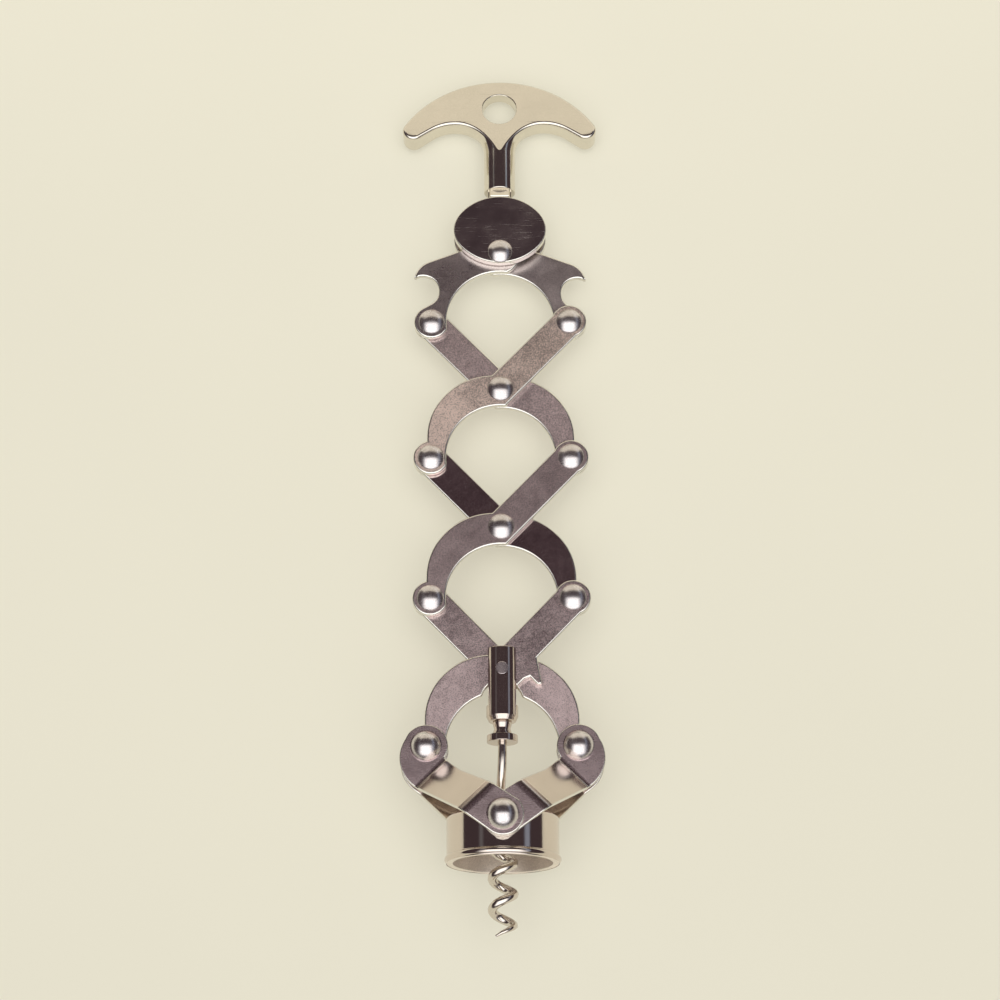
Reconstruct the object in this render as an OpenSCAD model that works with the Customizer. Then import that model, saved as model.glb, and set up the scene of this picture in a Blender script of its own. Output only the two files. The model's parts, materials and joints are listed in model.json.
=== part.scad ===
// Expandable corkscrew of the lazy-tongs kind.
// A bell sits on the bottle's neck, four bent yoke strips carry a chain of crossed links,
// and a worm hangs from the lowest crossing. Pulling the handle stretches the chain.
// Millimetres. +Y runs along the worm's axis towards the handle, +Z is the front face,
// and the origin is the centre of the bell's mouth.

/* [Linkage] */
// Pivot to pivot length of half a long link
half_link = 32; // [30:0.5:38]
// Pivot to pivot length of a yoke strip, and of the lower half of a lower link
yoke_len = 33.5; // [32:0.5:40]
// Angle between each link and the long axis at rest
rest_angle = 43.7; // [41:0.1:47]
// Thickness of a link
link_t = 2; // [1.6:0.1:2.6]
// Width of the straight half of a link
bar_w = 10.4; // [9:0.1:11]
// Length by which the straight half runs past the crossing
bar_root = 8; // [7:0.1:9]
// Radius of the round link ends
boss_r = 5.6; // [5.4:0.1:5.9]
// Width of the curved half inside its pivot circle
arm_in = 4.8; // [4.2:0.1:5.4]
// Width of the curved half outside its pivot circle, where it is widest
arm_out = 1.3; // [1:0.1:2]
// Outward shift of the centre of the curved half's outer edge
arm_shift_x = 2.6; // [1.6:0.1:3]
// Upward shift of the centre of the curved half's outer edge
arm_shift_y = 6.9; // [6:0.1:7.4]
// Width of a lower link's curved half inside its pivot circle
lower_arm_in = 5.9; // [5:0.1:6.5]

/* [Lower links] */
// Width of a lower link's curved half outside its pivot circle, where it is widest
lower_arm_out = 0.6; // [0.4:0.1:1.4]
// Outward shift of the centre of a lower link's outer edge
lower_shift_x = 3.4; // [2.4:0.1:3.8]
// Upward shift of the centre of a lower link's outer edge
lower_shift_y = 8.8; // [8:0.1:9.4]
// Radius of the relief that clears the worm holder
relief_r = 6.4; // [5.8:0.1:6.8]
// Distance from the crossing down to the relief's centre
relief_drop = 9.75; // [9.5:0.05:10.5]
// Distance from the axis to the wire claw's outer edge
claw_x = 12.4; // [11.5:0.1:13]
// Distance from the crossing down to the wire claw's tip
claw_drop = 4.5; // [3.5:0.1:5]
// Width of the wire claw's tip
claw_tip_w = 1.6; // [1:0.1:2]
// Depth of the wire claw's notch
claw_notch = 2.3; // [1.5:0.1:2.6]

/* [Rivets] */
// Radius of the rivet shanks
shank_r = 2; // [1.6:0.1:2.4]
// Radius of the chain's domed rivet heads
head_r = 4.25; // [3.6:0.05:4.5]
// Height of the heads on the chain's rivets and the top rivet
head_h = 1.75; // [1.4:0.05:2.4]
// Radius of the top rivet's heads
top_head_r = 4.05; // [3.4:0.05:4.3]
// Radius of the larger heads on the yoke pins and the bell's rivets
yoke_head_r = 4.9; // [4.3:0.05:5.2]
// Height of the heads on the yoke pins and the bell's rivets
yoke_head_h = 3.3; // [2.6:0.1:3.6]

/* [Clearances] */
// Gap between faces that slide past each other
slide_gap = 0.2; // [0.15:0.01:0.3]
// Radial gap between a shank and a link that turns on it
pin_gap = 0.05; // [0.02:0.01:0.09]
// Gap between the tongue of the handle and the cap lifters' eyes
tongue_gap = 4.7; // [4.5:0.1:6]

/* [Cap lifters] */
// Radius of the eye on the top rivet
eye_r = 6.3; // [5.8:0.1:6.6]
// Radius of the notch that takes a crown cap's rim
cap_notch_r = 5.2; // [4.6:0.1:5.3]
// Distance of the notch's centre outside the end pivot
cap_notch_out = 2.9; // [2.4:0.1:3.4]
// Distance of the notch's centre above the end pivot
cap_notch_up = 10.75; // [10.7:0.05:11.5]
// Radius of the beak above the notch
beak_r = 7.6; // [7:0.1:8]
// Distance of the beak's centre inside the notch's centre
beak_in = 4.7; // [4.2:0.1:5.2]
// Distance of the beak's centre above the notch's centre
beak_up = 3.3; // [2.9:0.1:3.7]

/* [Handle] */
// Thickness of the grip where it starts to thin
handle_t = 10.4; // [10.3:0.1:12]
// Thickness of the grip at its top edge
grip_tip_t = 3.9; // [3:0.1:6]
// Distance from the grip's top down to where it starts to thin
taper_y = 27.7; // [26.7:0.1:28.3]
// Radius of the grip's top edge
grip_r = 37.3; // [36:0.1:42]
// Distance from the top rivet to the grip's top
grip_top = 63.3; // [62:0.1:66]
// Radius of the grip's wing ends
wing_r = 3.5; // [3:0.1:4]
// Distance from the grip's top down to the wing ends' centres
wing_y = 18.9; // [17.3:0.1:19.8]
// Radius of the finger hollows under the grip
hollow_r = 13.6; // [13:0.1:14]
// Distance from a wing end's centre in to a finger hollow's centre
hollow_x = 13.65; // [13.25:0.05:14]
// Distance from the grip's top down to the finger hollows' centres
hollow_y = 30.4; // [29.9:0.1:31.3]
// Radius of the flare from the stem into the grip
flare_r = 9.6; // [9:0.1:10]
// Distance from the axis to the outer end of the flare
flare_out = 11; // [10:0.1:11.5]
// Distance from the grip's top down to the lower end of its plate
plate_y = 22.3; // [21.3:0.1:22.8]
// Radius of the hanging hole
hang_hole_r = 5.6; // [4:0.1:6]
// Distance from the grip's top down to the hanging hole
hang_hole_y = 11; // [10.3:0.1:11.8]
// Diameter of the stem
stem_d = 10.2; // [9.4:0.1:10.2]
// Distance from the top rivet to the stem's lower shoulder
stem_y = 23; // [22.5:0.1:25]
// Width of the collar under the stem
collar_w = 6.8; // [6.2:0.1:7]
// Thickness of the collar where it meets the stem
collar_t = 7.2; // [6.8:0.1:8]
// Thickness of the collar at its foot, above the cheeks
collar_foot_t = 9.8; // [9.4:0.1:10]
// Width of the tongue between the cheeks
tongue_w = 7.4; // [6.4:0.1:7.4]

/* [Cheeks] */
// Width of the oval cheeks
cheek_w = 30; // [28:0.5:34]
// Height of the oval cheeks
cheek_h = 23.6; // [22.6:0.1:24.4]
// Radius of the ovals' narrow ends
cheek_end_r = 9; // [8.5:0.1:10]
// Distance from the top rivet up to the ovals' centre
cheek_y = 7.9; // [7:0.1:8.4]
// Thickness of a cheek
cheek_t = 3; // [2:0.1:4]

/* [Worm holder] */
// Diameter of the holder
holder_d = 9.8; // [9.4:0.1:10.2]
// Length of the holder above its pin
holder_up = 7; // [5.5:0.1:7.5]
// Length of the holder below its pin
holder_down = 16; // [15:0.1:20]
// Depth of the fork's slot below the pin
slot_down = 11; // [10.8:0.1:11.4]
// Length of the chamfer at the holder's lower end
holder_chamfer = 1.6; // [0.5:0.1:2]
// Radius of the holder's pin
holder_pin_r = 2; // [1.6:0.1:2.2]

/* [Worm] */
// Diameter of the worm head's neck
neck_d = 5.9; // [5:0.1:6.4]
// Diameter of the groove round the neck
waist_d = 5; // [4.6:0.1:5.4]
// Length of the neck
neck_len = 4.2; // [3:0.1:6]
// Diameter of the disc under the neck
disc_d = 9.5; // [8:0.1:11]
// Thickness of the disc
disc_t = 2.2; // [1.6:0.1:3]
// Diameter of the spigot that holds the head in the holder
spigot_d = 4; // [3:0.1:4.6]
// Length of the spigot
spigot_len = 4; // [3:0.1:4.6]
// Diameter of the worm's wire
wire_d = 2.8; // [2.5:0.1:3.2]
// Outside diameter of the worm's helix
worm_d = 9.3; // [8.8:0.1:10]
// Pitch of the helix
worm_pitch = 9.4; // [8:0.1:11]
// Distance from the disc to the worm's point
worm_len = 59; // [54:0.1:66]
// Straight length of wire below the disc
wire_straight = 2; // [1:0.5:4]
// Length over which the wire swings out to the helix
wire_blend = 24; // [22:0.5:28]
// Distance from the disc to where the wire starts to wind
curl_start = 15; // [14:0.5:16]
// Length over which the winding reaches its full rate
curl_len = 19; // [17:0.5:21]
// Length of the taper at the worm's point
point_len = 5; // [3:0.5:8]
// Turn of the worm's point about the axis, counted from +X
point_turn = 130; // [0:5:355]

/* [Bell] */
// Radius of the bore that takes a bottle's neck
bell_bore_r = 15; // [14.5:0.1:15.4]
// Wall of the bell
bell_wall = 2; // [1.5:0.1:2.5]
// Height of the bell
bell_h = 14.4; // [14:0.1:18]
// Height of the yoke's pivot above the mouth
pivot_h = 11; // [9:0.1:11.2]
// Radius of the opening that the cork rises through
cork_hole_r = 12.5; // [11.5:0.1:13]
// Thickness of the lip that seats on the bottle
lip_t = 2; // [1.2:0.1:2.3]
// Radius of the bell's upper shoulder
shoulder_r = 1.6; // [0.8:0.1:1.9]
// Radius of the bead round the mouth
bead_r = 1.1; // [0.8:0.1:1.3]
// Distance by which the bead stands proud
bead_out = 0.6; // [0.2:0.1:0.8]

/* [Yoke strips] */
// Thickness of a strip
strip_t = 1.6; // [1.2:0.1:2]
// Radius of the pad round a strip's upper pivot
pad_r = 6.7; // [6.2:0.1:7]
// Radius of the heel on the outer side of the pad
heel_r = 10.8; // [10:0.1:11.5]
// Distance of the heel's centre along the strip
heel_along = 4.5; // [4:0.1:5]
// Distance of the heel's centre outside the strip's line of pivots
heel_out = 0.5; // [0.2:0.1:0.8]
// Radius of the strip's end on the bell
strip_end_r = 6.3; // [5.8:0.1:6.6]
// Distance along the strip where its inner edge is narrowest
waist_along = 13.5; // [12:0.1:15]
// Distance from the line of pivots to the narrowest inner edge
waist_in = 1.6; // [1:0.1:2.4]
// Flat length of the pad beyond its pivot
pad_len = 6.3; // [6:0.1:7]
// Slope of the strip between its pad and the bell
ramp_angle = 45; // [40:1:50]
// Radius inside the bend next to the pad
bend_r = 2.5; // [1.5:0.1:3.5]
// Radius inside the bend next to the bell
crown_r = 4; // [2.5:0.1:5]

/* [Hidden] */
$fn = 64;
worm_sides = 14;
worm_steps = 24;
// Tangent edges lie this far inside their discs, so that edge and arc cross at a clear point
tangent_in = 0.01;

// Half a link seen along the axis and across it at rest
function rise(len) = len * cos(rest_angle);
function reach(len) = len * sin(rest_angle);

// Pivot heights, from the bell up to the top rivet
yoke_y = pivot_h + rise(yoke_len);
holder_y = yoke_y + rise(yoke_len);
side3_y = holder_y + rise(half_link);
cross2_y = side3_y + rise(half_link);
side2_y = cross2_y + rise(half_link);
cross1_y = side2_y + rise(half_link);
side1_y = cross1_y + rise(half_link);
top_y = side1_y + rise(half_link);

// Levels of the layers above the middle plane
face_z = slide_gap / 2 + link_t;
pad_z = face_z + slide_gap;
cheek_z = pad_z + cheek_t;
bell_r = bell_bore_r + bell_wall;
inner_strip_z = bell_r + slide_gap;
outer_strip_z = inner_strip_z + strip_t + slide_gap;
run_r = shank_r + pin_gap;

// Worm stations below the holder's pin
neck_y = holder_y - holder_down;
disc_y = neck_y - neck_len;
wire_y = disc_y - disc_t;
wire_r = wire_d / 2;
coil_r = worm_d / 2 - wire_r;
wire_in = disc_t + neck_len / 2;
point_r = 0.4;

nickel = [0.72, 0.69, 0.66];
polished = [0.80, 0.78, 0.75];
satin = [0.55, 0.51, 0.50];

// Two discs joined by their outer tangents
module belt(a, a_r, b, b_r) {
    span = b - a;
    heading = atan2(span.y, span.x);
    lean = acos((a_r - b_r) / norm(span));
    left = [cos(heading + lean), sin(heading + lean)];
    right = [cos(heading - lean), sin(heading - lean)];
    translate(a) circle(a_r);
    translate(b) circle(b_r);
    a_in = a_r - tangent_in;
    b_in = b_r - tangent_in;
    polygon([a + a_in * left, a + a_in * right, b + b_in * right, b + b_in * left]);
}

// Ring between two radii, kept between two directions
module ring_sector(inner, outer, from, to) {
    far = 2 * outer;
    middle = (from + to) / 2;
    intersection() {
        difference() {
            circle(outer);
            circle(inner);
        }
        polygon([
            [0, 0],
            far * [cos(from), sin(from)],
            far * [cos(middle), sin(middle)],
            far * [cos(to), sin(to)]
        ]);
    }
}

// Points along an arc
function arc(centre, r, from, to, steps = 12) = [
    for (k = [0 : steps]) centre + r * [
        cos(from + (to - from) * k / steps),
        sin(from + (to - from) * k / steps)
    ]
];

module front_layer() {
    translate([0, 0, slide_gap / 2]) linear_extrude(link_t) children();
}

module back_layer() {
    translate([0, 0, -face_z]) linear_extrude(link_t) children();
}

module at_pivots(points, r) {
    for (p = points) translate(p) circle(r);
}

// Spherical rivet head that stands on the plane z = 0
module dome(r, h) {
    ball_r = (r * r + h * h) / (2 * h);
    intersection() {
        translate([0, 0, h - ball_r]) sphere(ball_r);
        translate([-2 * r, -2 * r, 0]) cube([4 * r, 4 * r, 2 * h]);
    }
}

// Rivet with a head beyond each of two levels
module rivet(low, high, r = head_r, h = head_h) {
    translate([0, 0, low]) cylinder(r = shank_r, h = high - low);
    translate([0, 0, high]) dome(r, h);
    translate([0, 0, low]) mirror([0, 0, 1]) dome(r, h);
}

// Long link, crossing at the origin: straight to the upper right, curved to the lower left
module link_plan(lower, inner, out, shift) {
    arch = [0, -rise(lower)];
    outer_r = reach(lower) + out - shift.x;
    difference() {
        union() {
            rotate(90 - rest_angle)
                translate([-bar_root, -bar_w / 2]) square([bar_root + half_link, bar_w]);
            translate([reach(half_link), rise(half_link)]) circle(boss_r);
            translate([-reach(lower), -rise(lower)]) circle(boss_r);
            intersection() {
                translate(arch + [-shift.x, shift.y]) circle(outer_r);
                translate(arch + [-2 * outer_r, 0]) square(2 * outer_r);
            }
        }
        translate(arch) circle(reach(lower) - inner);
    }
}

// A long link's pivots: crossing, upper end and lower end
function link_pivots(lower) = [
    [0, 0],
    [reach(half_link), rise(half_link)],
    [-reach(lower), -rise(lower)]
];

// Claw that breaks the wire on a bottle, beside the crossing of a lower link
module claw_plan() {
    edge = bar_w / 2;
    root = [edge * cos(rest_angle), -edge * sin(rest_angle)];
    along = [sin(rest_angle), cos(rest_angle)];
    notch = [claw_x - claw_tip_w - claw_notch, claw_notch - claw_drop];
    polygon([
        [0, 0],
        root + claw_notch * [0.25, -0.8],
        notch - [claw_tip_w, 0.3 * claw_notch],
        notch,
        [claw_x - claw_tip_w, -1.05 * claw_drop],
        [claw_x, -claw_drop],
        [claw_x - 0.7 * claw_tip_w, 0.27 * claw_drop],
        (claw_x + claw_tip_w) * along
    ]);
}

// Link of the chain above the lower links
module chain_plan() {
    link_plan(half_link, arm_in, arm_out, [arm_shift_x, arm_shift_y]);
}

module lower_plan() {
    link_plan(yoke_len, lower_arm_in, lower_arm_out, [lower_shift_x, lower_shift_y]);
}

module long_link_front(y) {
    ends = link_pivots(half_link);
    color(satin) translate([0, y, 0]) front_layer() difference() {
        chain_plan();
        at_pivots(ends, shank_r);
    }
}

module long_link_back(y) {
    ends = link_pivots(half_link);
    color(satin) translate([0, y, 0]) back_layer() mirror([1, 0]) difference() {
        chain_plan();
        at_pivots(ends, run_r);
    }
}

module upper_link_front() {
    long_link_front(cross1_y);
}

module upper_link_back() {
    long_link_back(cross1_y);
}

module middle_link_front() {
    long_link_front(cross2_y);
}

module middle_link_back() {
    long_link_back(cross2_y);
}

module lower_link_front() {
    ends = link_pivots(yoke_len);
    color(satin) translate([0, holder_y, 0]) front_layer() difference() {
        union() {
            lower_plan();
            claw_plan();
        }
        translate([0, -relief_drop]) circle(relief_r);
        circle(holder_pin_r + pin_gap);
        at_pivots([ends[1]], shank_r);
        at_pivots([ends[2]], run_r);
    }
}

module lower_link_back() {
    ends = link_pivots(yoke_len);
    color(satin) translate([0, holder_y, 0]) back_layer() mirror([1, 0]) difference() {
        lower_plan();
        translate([0, -relief_drop]) circle(relief_r);
        circle(holder_pin_r + pin_gap);
        at_pivots([ends[1], ends[2]], run_r);
    }
}

// Cap lifter, eye at the origin and end pivot to the lower left
module cap_lifter_plan(end_hole_r) {
    end = [-reach(half_link), -rise(half_link)];
    notch = end + [-cap_notch_out, cap_notch_up];
    beak = notch + [beak_in, beak_up];
    span = end - notch;
    lean = atan2(span.y, span.x) + acos((cap_notch_r + boss_r) / norm(span));
    fall = [cos(lean), sin(lean)];
    difference() {
        union() {
            belt([0, 0], eye_r, beak, beak_r);
            translate(end) circle(boss_r);
            polygon([
                [-beak_r, -beak_r / 2],
                beak,
                notch + (cap_notch_r - tangent_in) * fall,
                end - (boss_r - tangent_in) * fall,
                end,
                end + [boss_r, 0]
            ]);
        }
        translate(notch) circle(cap_notch_r);
        translate([0, -rise(half_link)]) circle(reach(half_link) - arm_in);
        circle(run_r);
        translate(end) circle(end_hole_r);
    }
}

module cap_lifter_left() {
    color(satin) translate([0, top_y, 0]) front_layer() cap_lifter_plan(shank_r);
}

module cap_lifter_right() {
    color(satin) translate([0, top_y, 0]) back_layer() mirror([1, 0]) cap_lifter_plan(run_r);
}

// Rivet that is tight in the front link and lets the back link turn
module chain_rivet(x, y) {
    color(polished) translate([x, y, 0]) rivet(-pad_z, face_z);
}

module rivet_lower_left() {
    chain_rivet(-reach(half_link), side3_y);
}

module rivet_lower_right() {
    chain_rivet(reach(half_link), side3_y);
}

module rivet_middle_left() {
    chain_rivet(-reach(half_link), side2_y);
}

module rivet_middle_right() {
    chain_rivet(reach(half_link), side2_y);
}

module rivet_upper_left() {
    chain_rivet(-reach(half_link), side1_y);
}

module rivet_upper_right() {
    chain_rivet(reach(half_link), side1_y);
}

module cross_rivet_middle() {
    chain_rivet(0, cross2_y);
}

module cross_rivet_upper() {
    chain_rivet(0, cross1_y);
}

// Outline of a yoke strip: upper pivot at the origin, bell pivot along +X, outer side at +Y
module strip_plan() {
    far = yoke_len + 2 * strip_end_r;
    slope = (strip_end_r - waist_in) / (yoke_len - waist_along);
    circle(pad_r);
    difference() {
        belt([heel_along, heel_out], heel_r, [yoke_len, 0], strip_end_r);
        polygon([
            [-2 * heel_r, -waist_in],
            [waist_along, -waist_in],
            [far, -waist_in - slope * (far - waist_along)],
            [far, -3 * heel_r],
            [-2 * heel_r, -3 * heel_r]
        ]);
    }
}

// Bent section of a yoke strip along its line of pivots, up to the level flat_z
module strip_section(flat_z) {
    turn = bend_r + strip_t + crown_r;
    ramp = (flat_z - pad_z - turn * (1 - cos(ramp_angle))) / sin(ramp_angle);
    across = [sin(ramp_angle), -cos(ramp_angle)];
    bend = [pad_len, pad_z + strip_t + bend_r];
    crest = bend + (bend_r + strip_t) * across + ramp * [cos(ramp_angle), sin(ramp_angle)];
    crown = crest + crown_r * across;
    heel_u = -pad_r - heel_r;
    bell_u = yoke_len + strip_end_r + 1;
    polygon(concat(
        [[heel_u, pad_z]],
        arc(bend, bend_r + strip_t, -90, ramp_angle - 90),
        arc(crown, crown_r, 90 + ramp_angle, 90),
        [[bell_u, flat_z], [bell_u, flat_z + strip_t]],
        arc(crown, crown_r + strip_t, 90, 90 + ramp_angle),
        arc(bend, bend_r, ramp_angle - 90, -90),
        [[heel_u, pad_z + strip_t]]
    ));
}

// Front strip of the right-hand yoke, whose flat end lies at the level flat_z
module yoke_strip(flat_z) {
    color(nickel) translate([reach(yoke_len), yoke_y, 0]) rotate(-90 - rest_angle) difference() {
        intersection() {
            rotate([90, 0, 0]) linear_extrude(4 * heel_r, center = true) strip_section(flat_z);
            linear_extrude(flat_z + 2 * strip_t) strip_plan();
        }
        cylinder(r = shank_r, h = 2 * flat_z, center = true);
        translate([yoke_len, 0, 0]) cylinder(r = run_r, h = 2 * flat_z + 4 * strip_t);
    }
}

module yoke_strip_front_left() {
    mirror([1, 0, 0]) yoke_strip(outer_strip_z);
}

module yoke_strip_front_right() {
    yoke_strip(inner_strip_z);
}

module yoke_strip_back_left() {
    mirror([1, 0, 0]) mirror([0, 0, 1]) yoke_strip(inner_strip_z);
}

module yoke_strip_back_right() {
    mirror([0, 0, 1]) yoke_strip(outer_strip_z);
}

module yoke_pin(x) {
    level = pad_z + strip_t;
    color(polished) translate([x, yoke_y, 0]) rivet(-level, level, yoke_head_r, yoke_head_h);
}

module yoke_pin_left() {
    yoke_pin(-reach(yoke_len));
}

module yoke_pin_right() {
    yoke_pin(reach(yoke_len));
}

// Washer that fills the free layer between a yoke's two pads
module yoke_spacer(x, low) {
    color(nickel) translate([x, yoke_y, low]) difference() {
        cylinder(r = boss_r, h = pad_z - slide_gap / 2);
        translate([0, 0, -1]) cylinder(r = shank_r, h = pad_z + 2);
    }
}

module yoke_spacer_left() {
    yoke_spacer(-reach(yoke_len), -pad_z);
}

module yoke_spacer_right() {
    yoke_spacer(reach(yoke_len), slide_gap / 2);
}

// Half section of the bell: wall, seating lip, rounded shoulder and beaded mouth
module bell_section() {
    shoulder = [bell_r - shoulder_r, bell_h - shoulder_r];
    difference() {
        union() {
            translate([cork_hole_r, 0]) square([bell_r - cork_hole_r, shoulder.y]);
            translate([cork_hole_r, 0]) square([shoulder.x - cork_hole_r, bell_h]);
            translate(shoulder) circle(shoulder_r);
            translate([bell_r - bead_r + bead_out, bead_r]) circle(bead_r);
        }
        square([bell_bore_r, bell_h - lip_t]);
    }
}

module bell() {
    color(polished) difference() {
        rotate([-90, 0, 0]) rotate_extrude() bell_section();
        translate([0, pivot_h, 0]) cylinder(r = shank_r, h = 4 * bell_r, center = true);
    }
}

// Rivet from the bore's wall out through both strips of one side
module bell_rivet() {
    head_z = outer_strip_z + strip_t + slide_gap;
    color(polished) translate([0, pivot_h, 0]) {
        translate([0, 0, bell_bore_r]) cylinder(r = shank_r, h = head_z - bell_bore_r);
        translate([0, 0, head_z]) dome(yoke_head_r, yoke_head_h);
    }
}

module bell_rivet_front() {
    bell_rivet();
}

module bell_rivet_back() {
    mirror([0, 0, 1]) bell_rivet();
}

// Lathe section of the holder along its axis, measured from the pin
module holder_section() {
    r = holder_d / 2;
    polygon([
        [0, -holder_down],
        [r - holder_chamfer / 2, -holder_down],
        [r, -holder_down + holder_chamfer],
        [r, holder_up],
        [0, holder_up]
    ]);
}

module worm_holder() {
    slot = 2 * pad_z;
    color(nickel) translate([0, holder_y, 0]) difference() {
        rotate([-90, 0, 0]) rotate_extrude() holder_section();
        translate([-holder_d, -slot_down, -slot / 2])
            cube([2 * holder_d, slot_down + holder_up + 1, slot]);
        cylinder(r = holder_pin_r, h = 2 * holder_d, center = true);
        translate([0, -holder_down - 1, 0])
            rotate([-90, 0, 0]) cylinder(d = spigot_d, h = spigot_len + 1);
    }
}

// Pin whose ends are turned flush with the holder's round side
module holder_pin() {
    color(polished) translate([0, holder_y, 0]) intersection() {
        cylinder(r = holder_pin_r, h = 2 * holder_d, center = true);
        rotate([90, 0, 0]) cylinder(d = holder_d, h = 4 * holder_pin_r, center = true);
    }
}

// Half section of the neck above the disc, with a groove round its middle
module neck_section() {
    top = disc_t + neck_len;
    polygon([
        [0, 0],
        [neck_d / 2, 0],
        [neck_d / 2, disc_t + neck_len / 8],
        [waist_d / 2, disc_t + neck_len / 2],
        [neck_d / 2, top - neck_len / 8],
        [neck_d / 2, top],
        [0, top]
    ]);
}

module worm_head() {
    color(nickel) translate([0, wire_y, 0]) rotate([-90, 0, 0]) difference() {
        union() {
            cylinder(d = disc_d, h = disc_t);
            rotate_extrude() neck_section();
            cylinder(d = spigot_d, h = disc_t + neck_len + spigot_len);
        }
        translate([0, 0, -1]) cylinder(d = wire_d, h = wire_in + 1);
    }
}

// Worm's centre line, measured down from the disc
function ease(t) = t <= 0 ? 0 : t >= 1 ? 1 : t * t * (3 - 2 * t);
function curl_ease(t) = t <= 0 ? 0.5 : t >= 1 ? t : (1 + t * t) / 2;
function curl(s) = curl_start + curl_len * curl_ease((s - curl_start) / curl_len);
function worm_turn(s) = point_turn - 360 * (worm_len - curl(s)) / worm_pitch;
function worm_out(s) = coil_r * ease((s - wire_straight) / wire_blend);
function worm_point(s) = [
    worm_out(s) * cos(worm_turn(s)),
    wire_y - s,
    worm_out(s) * sin(worm_turn(s))
];
function worm_wire(s) = point_r + (wire_r - point_r) * min(1, (worm_len - s) / point_len);

// One ring of points round the wire
function worm_ring(s) =
    let (
        step = 0.05,
        way = worm_point(min(s + step, worm_len)) - worm_point(s - step),
        heading = way / norm(way),
        radial = [cos(worm_turn(s)), 0, sin(worm_turn(s))],
        across = radial - (radial * heading) * heading,
        side = across / norm(across),
        other = cross(heading, side)
    )
    [for (k = [0 : worm_sides - 1])
        worm_point(s) + worm_wire(s) * (cos(360 * k / worm_sides) * side
            + sin(360 * k / worm_sides) * other)];

module worm() {
    wound = worm_len - wire_straight;
    steps = ceil(worm_steps * wound / worm_pitch);
    stations = concat([-wire_in], [for (k = [0 : steps]) wire_straight + wound * k / steps]);
    n = len(stations);
    points = [for (s = stations) each worm_ring(s)];
    sides = [for (i = [0 : n - 2], k = [0 : worm_sides - 1])
        let (
            a = i * worm_sides + k,
            b = i * worm_sides + (k + 1) % worm_sides
        )
        each [[a, b, a + worm_sides], [b, b + worm_sides, a + worm_sides]]];
    upper_cap = [[for (k = [worm_sides - 1 : -1 : 0]) k]];
    lower_cap = [[for (k = [0 : worm_sides - 1]) (n - 1) * worm_sides + k]];
    line = [for (s = stations) worm_point(s)];
    spans = [for (i = [1 : steps - worm_steps / 2], k = [i + worm_steps / 2 : steps])
        norm(line[i] - line[k])];
    echo(least_gap_between_turns = min(spans) - wire_d);
    color(polished) polyhedron(points, concat(upper_cap, sides, lower_cap));
}

// Rivet that is tight in the cheeks, on which the cap lifters turn
module top_rivet() {
    color(polished) translate([0, top_y, 0]) rivet(-cheek_z, cheek_z, top_head_r);
}

// Four-arc oval about the origin
module oval(width, height, end_r) {
    end_x = width / 2 - end_r;
    rest = height / 2 - end_r;
    drop = (end_x * end_x - rest * rest) / (2 * rest);
    side_r = drop + height / 2;
    join_x = side_r * end_x / (side_r - end_r);
    for (side = [-1, 1]) translate([side * end_x, 0]) circle(end_r);
    intersection() {
        translate([0, -drop]) circle(side_r - tangent_in);
        translate([0, drop]) circle(side_r - tangent_in);
        square([2 * join_x, height + 1], center = true);
    }
}

// Front cheek, which clamps the handle's tongue and lets the cap lifters turn behind it
module cheek() {
    color(polished) translate([0, top_y, pad_z]) linear_extrude(cheek_t) difference() {
        translate([0, cheek_y]) oval(cheek_w, cheek_h, cheek_end_r);
        circle(shank_r);
    }
}

module cheek_front() {
    cheek();
}

module cheek_back() {
    mirror([0, 0, 1]) cheek();
}

// Right half of the grip's outline, measured from the top rivet
module grip_half() {
    crown = [0, grip_top - grip_r];
    wing_x = sqrt(pow(grip_r - wing_r, 2) - pow(grip_r - wing_y, 2));
    wing = [wing_x, grip_top - wing_y];
    hollow = [wing_x - hollow_x, grip_top - hollow_y];
    plate = grip_top - plate_y;
    tip = (wing - crown) / (grip_r - wing_r);
    span = wing - hollow;
    lean = atan2(span.y, span.x) + acos((hollow_r + wing_r) / norm(span));
    fall = [cos(lean), sin(lean)];
    translate(wing) circle(wing_r);
    difference() {
        intersection() {
            translate(crown) circle(grip_r - tangent_in);
            polygon([
                [0, crown.y + 2 * grip_r],
                crown + 2 * grip_r * tip,
                wing,
                wing - (wing_r - tangent_in) * fall,
                hollow + (hollow_r - tangent_in) * fall,
                [hollow.x, plate],
                [0, plate]
            ]);
        }
        translate(hollow) circle(hollow_r);
    }
}

// Side view of the grip and stem: even at the stem, thinner towards the grip's top edge
module grip_profile() {
    taper = grip_top - taper_y;
    rotate([90, 0, 90]) linear_extrude(2 * grip_r, center = true) polygon([
        [0, -handle_t / 2],
        [taper, -handle_t / 2],
        [grip_top, -grip_tip_t / 2],
        [grip_top, grip_tip_t / 2],
        [taper, handle_t / 2],
        [0, handle_t / 2]
    ]);
}

// Round stem that flares out into the grip
module stem() {
    stem_r = stem_d / 2;
    flare_y = grip_top - hollow_y + hollow_r - flare_r;
    rotate([-90, 0, 0]) rotate_extrude() difference() {
        translate([0, stem_y]) square([flare_out, grip_top - hang_hole_y - stem_y]);
        translate([stem_r, 0]) square([flare_out, flare_y]);
        translate([stem_r + flare_r, flare_y]) circle(flare_r + tangent_in);
    }
}

// Collar that thickens from the stem's end down to the cheeks
module collar() {
    foot = cheek_y + cheek_h / 2 + slide_gap;
    rotate([90, 0, 90]) linear_extrude(collar_w, center = true) polygon([
        [foot, -collar_foot_t / 2],
        [stem_y, -collar_t / 2],
        [stem_y, collar_t / 2],
        [foot, collar_foot_t / 2]
    ]);
}

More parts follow.
